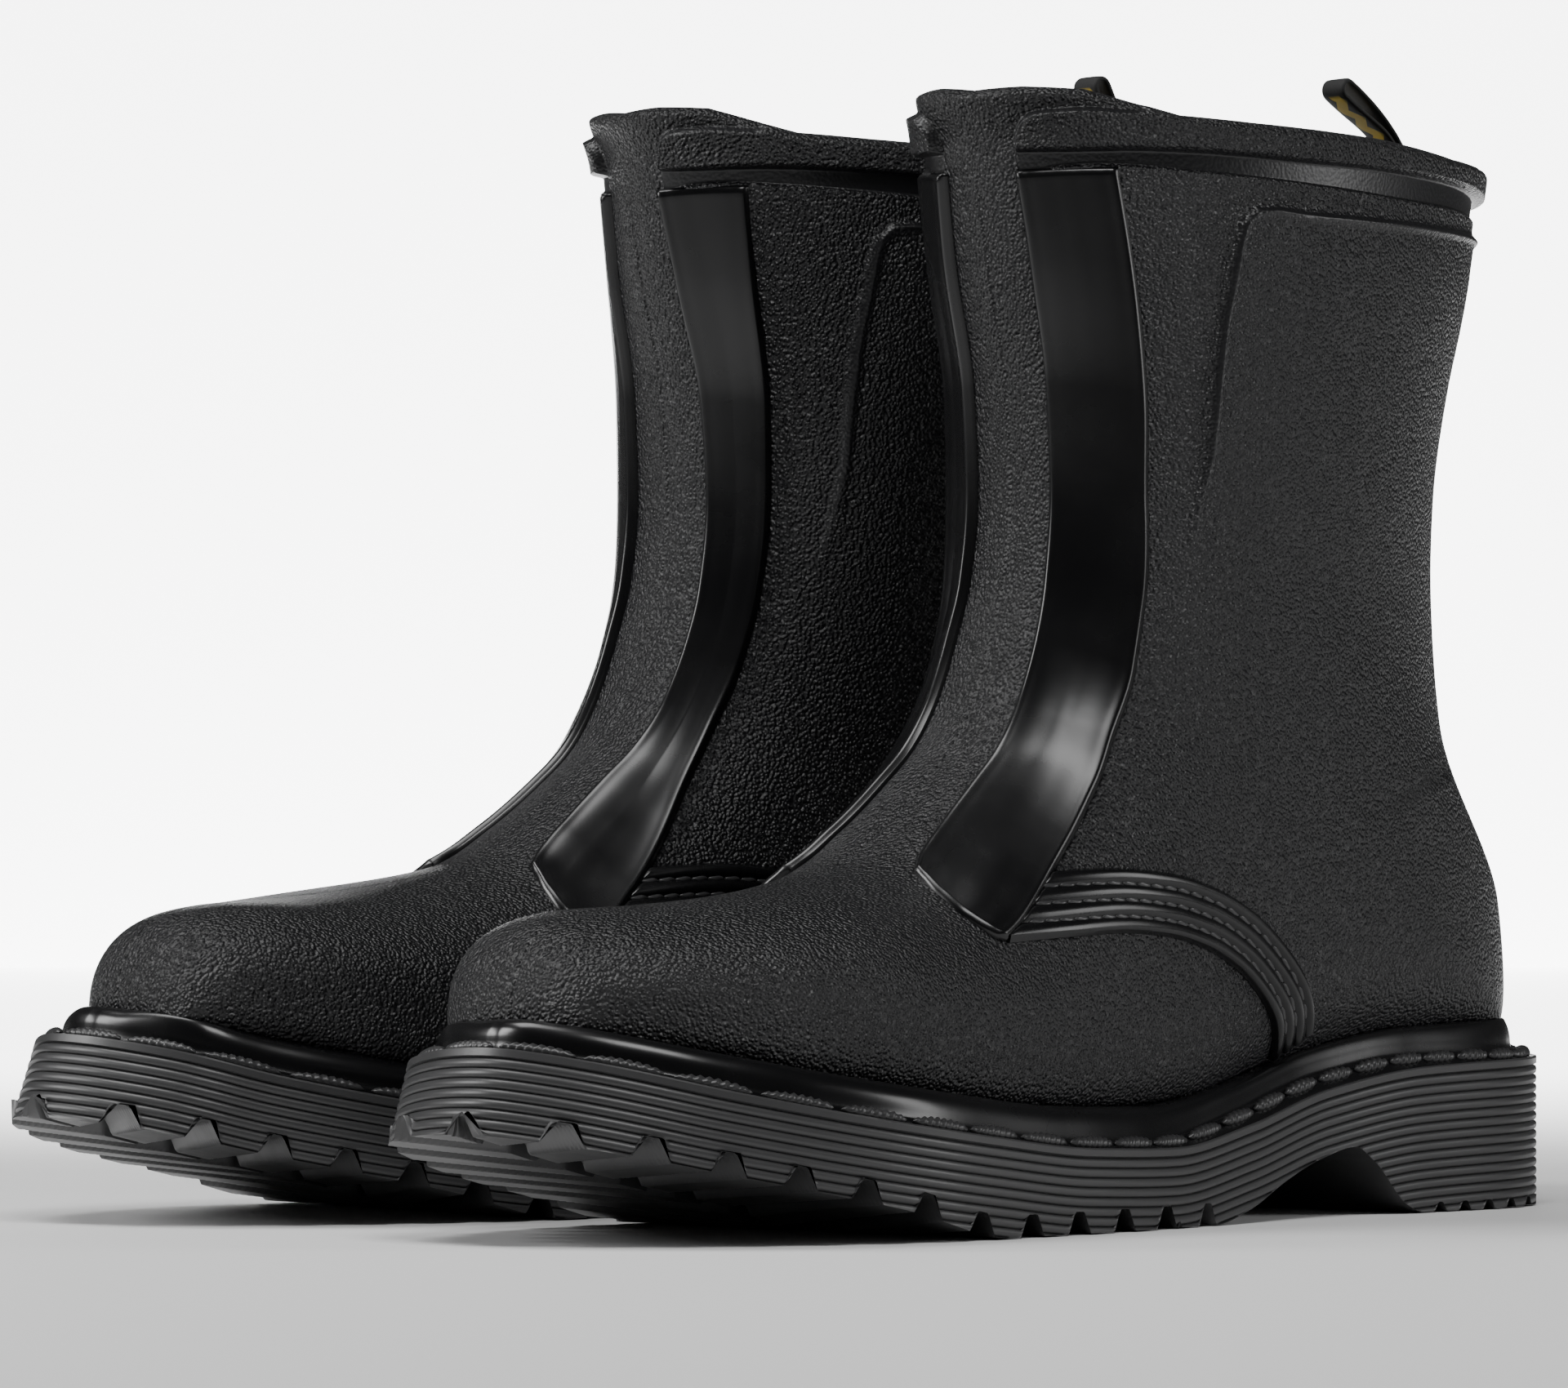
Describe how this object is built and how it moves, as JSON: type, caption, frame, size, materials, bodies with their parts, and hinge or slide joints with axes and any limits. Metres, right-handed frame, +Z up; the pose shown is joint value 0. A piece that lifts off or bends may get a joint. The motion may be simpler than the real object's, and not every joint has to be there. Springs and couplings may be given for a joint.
{
  "type": "fire boots",
  "caption": "Pair of black moulded rubber fire boots with grained shafts, smooth front strips, stitched bands, ribbed lugged soles, steel toe caps and fabric pull loops.",
  "frame": {"origin": "middle of the pair's footprint on the ground", "axes": "+Z up, toes towards -Y, the left boot at +X"},
  "size_m": [0.2306, 0.3027, 0.2363],
  "materials": {
    "grained_rubber": "black moulded rubber with a fine leather-like grain, matt",
    "smooth_rubber": "smooth black rubber, satin to glossy",
    "sole_rubber": "black solid rubber, semi-gloss on the ribs",
    "steel": "pressed steel, hidden inside the boot",
    "welt_thread": "heavy twisted black thread",
    "lining_felt": "dark felt lining",
    "board": "stiff fibre board, hidden inside the boot",
    "footbed_foam": "dark cloth-covered foam",
    "webbing": "woven black tape with a yellow pattern on one face"
  },
  "bodies": {
    "left_boot": {"left_outsole": "sole_rubber", "left_midsole_plate": "steel", "left_rand": "smooth_rubber", "left_welt_thread": "welt_thread", "left_upper": "grained_rubber", "left_collar_band": "grained_rubber", "left_lateral_strip": "smooth_rubber", "left_medial_strip": "smooth_rubber", "left_lateral_band": "smooth_rubber", "left_medial_band": "smooth_rubber", "left_toe_cap": "steel", "left_heel_counter": "board", "left_insole_board": "board", "left_lining": "lining_felt", "left_footbed": "footbed_foam", "left_loop_anchor": "webbing"},
    "left_loop": {"left_pull_loop": "webbing"},
    "right_boot": {"right_outsole": "sole_rubber", "right_midsole_plate": "steel", "right_rand": "smooth_rubber", "right_welt_thread": "welt_thread", "right_upper": "grained_rubber", "right_collar_band": "grained_rubber", "right_lateral_strip": "smooth_rubber", "right_medial_strip": "smooth_rubber", "right_lateral_band": "smooth_rubber", "right_medial_band": "smooth_rubber", "right_toe_cap": "steel", "right_heel_counter": "board", "right_insole_board": "board", "right_lining": "lining_felt", "right_footbed": "footbed_foam", "right_loop_anchor": "webbing"},
    "right_loop": {"right_pull_loop": "webbing"}
  },
  "joints": [
    {"name": "right_boot_lift", "type": "slide", "parent": "left_boot", "child": "right_boot", "axis": [0, 0, 1], "range_m": [0, 0.3]},
    {"name": "left_loop_fold", "type": "hinge", "parent": "left_boot", "child": "left_loop", "pos_m": [0.04158, 0.12898, 0.2152], "axis": [-0.9957, -0.0924, 0], "range_deg": [-20, 60], "stiffness_Nm_per_rad": 0.004},
    {"name": "right_loop_fold", "type": "hinge", "parent": "right_boot", "child": "right_loop", "pos_m": [-0.04158, 0.12898, 0.2152], "axis": [-0.9957, 0.0924, 0], "range_deg": [-20, 60], "stiffness_Nm_per_rad": 0.004}
  ]
}
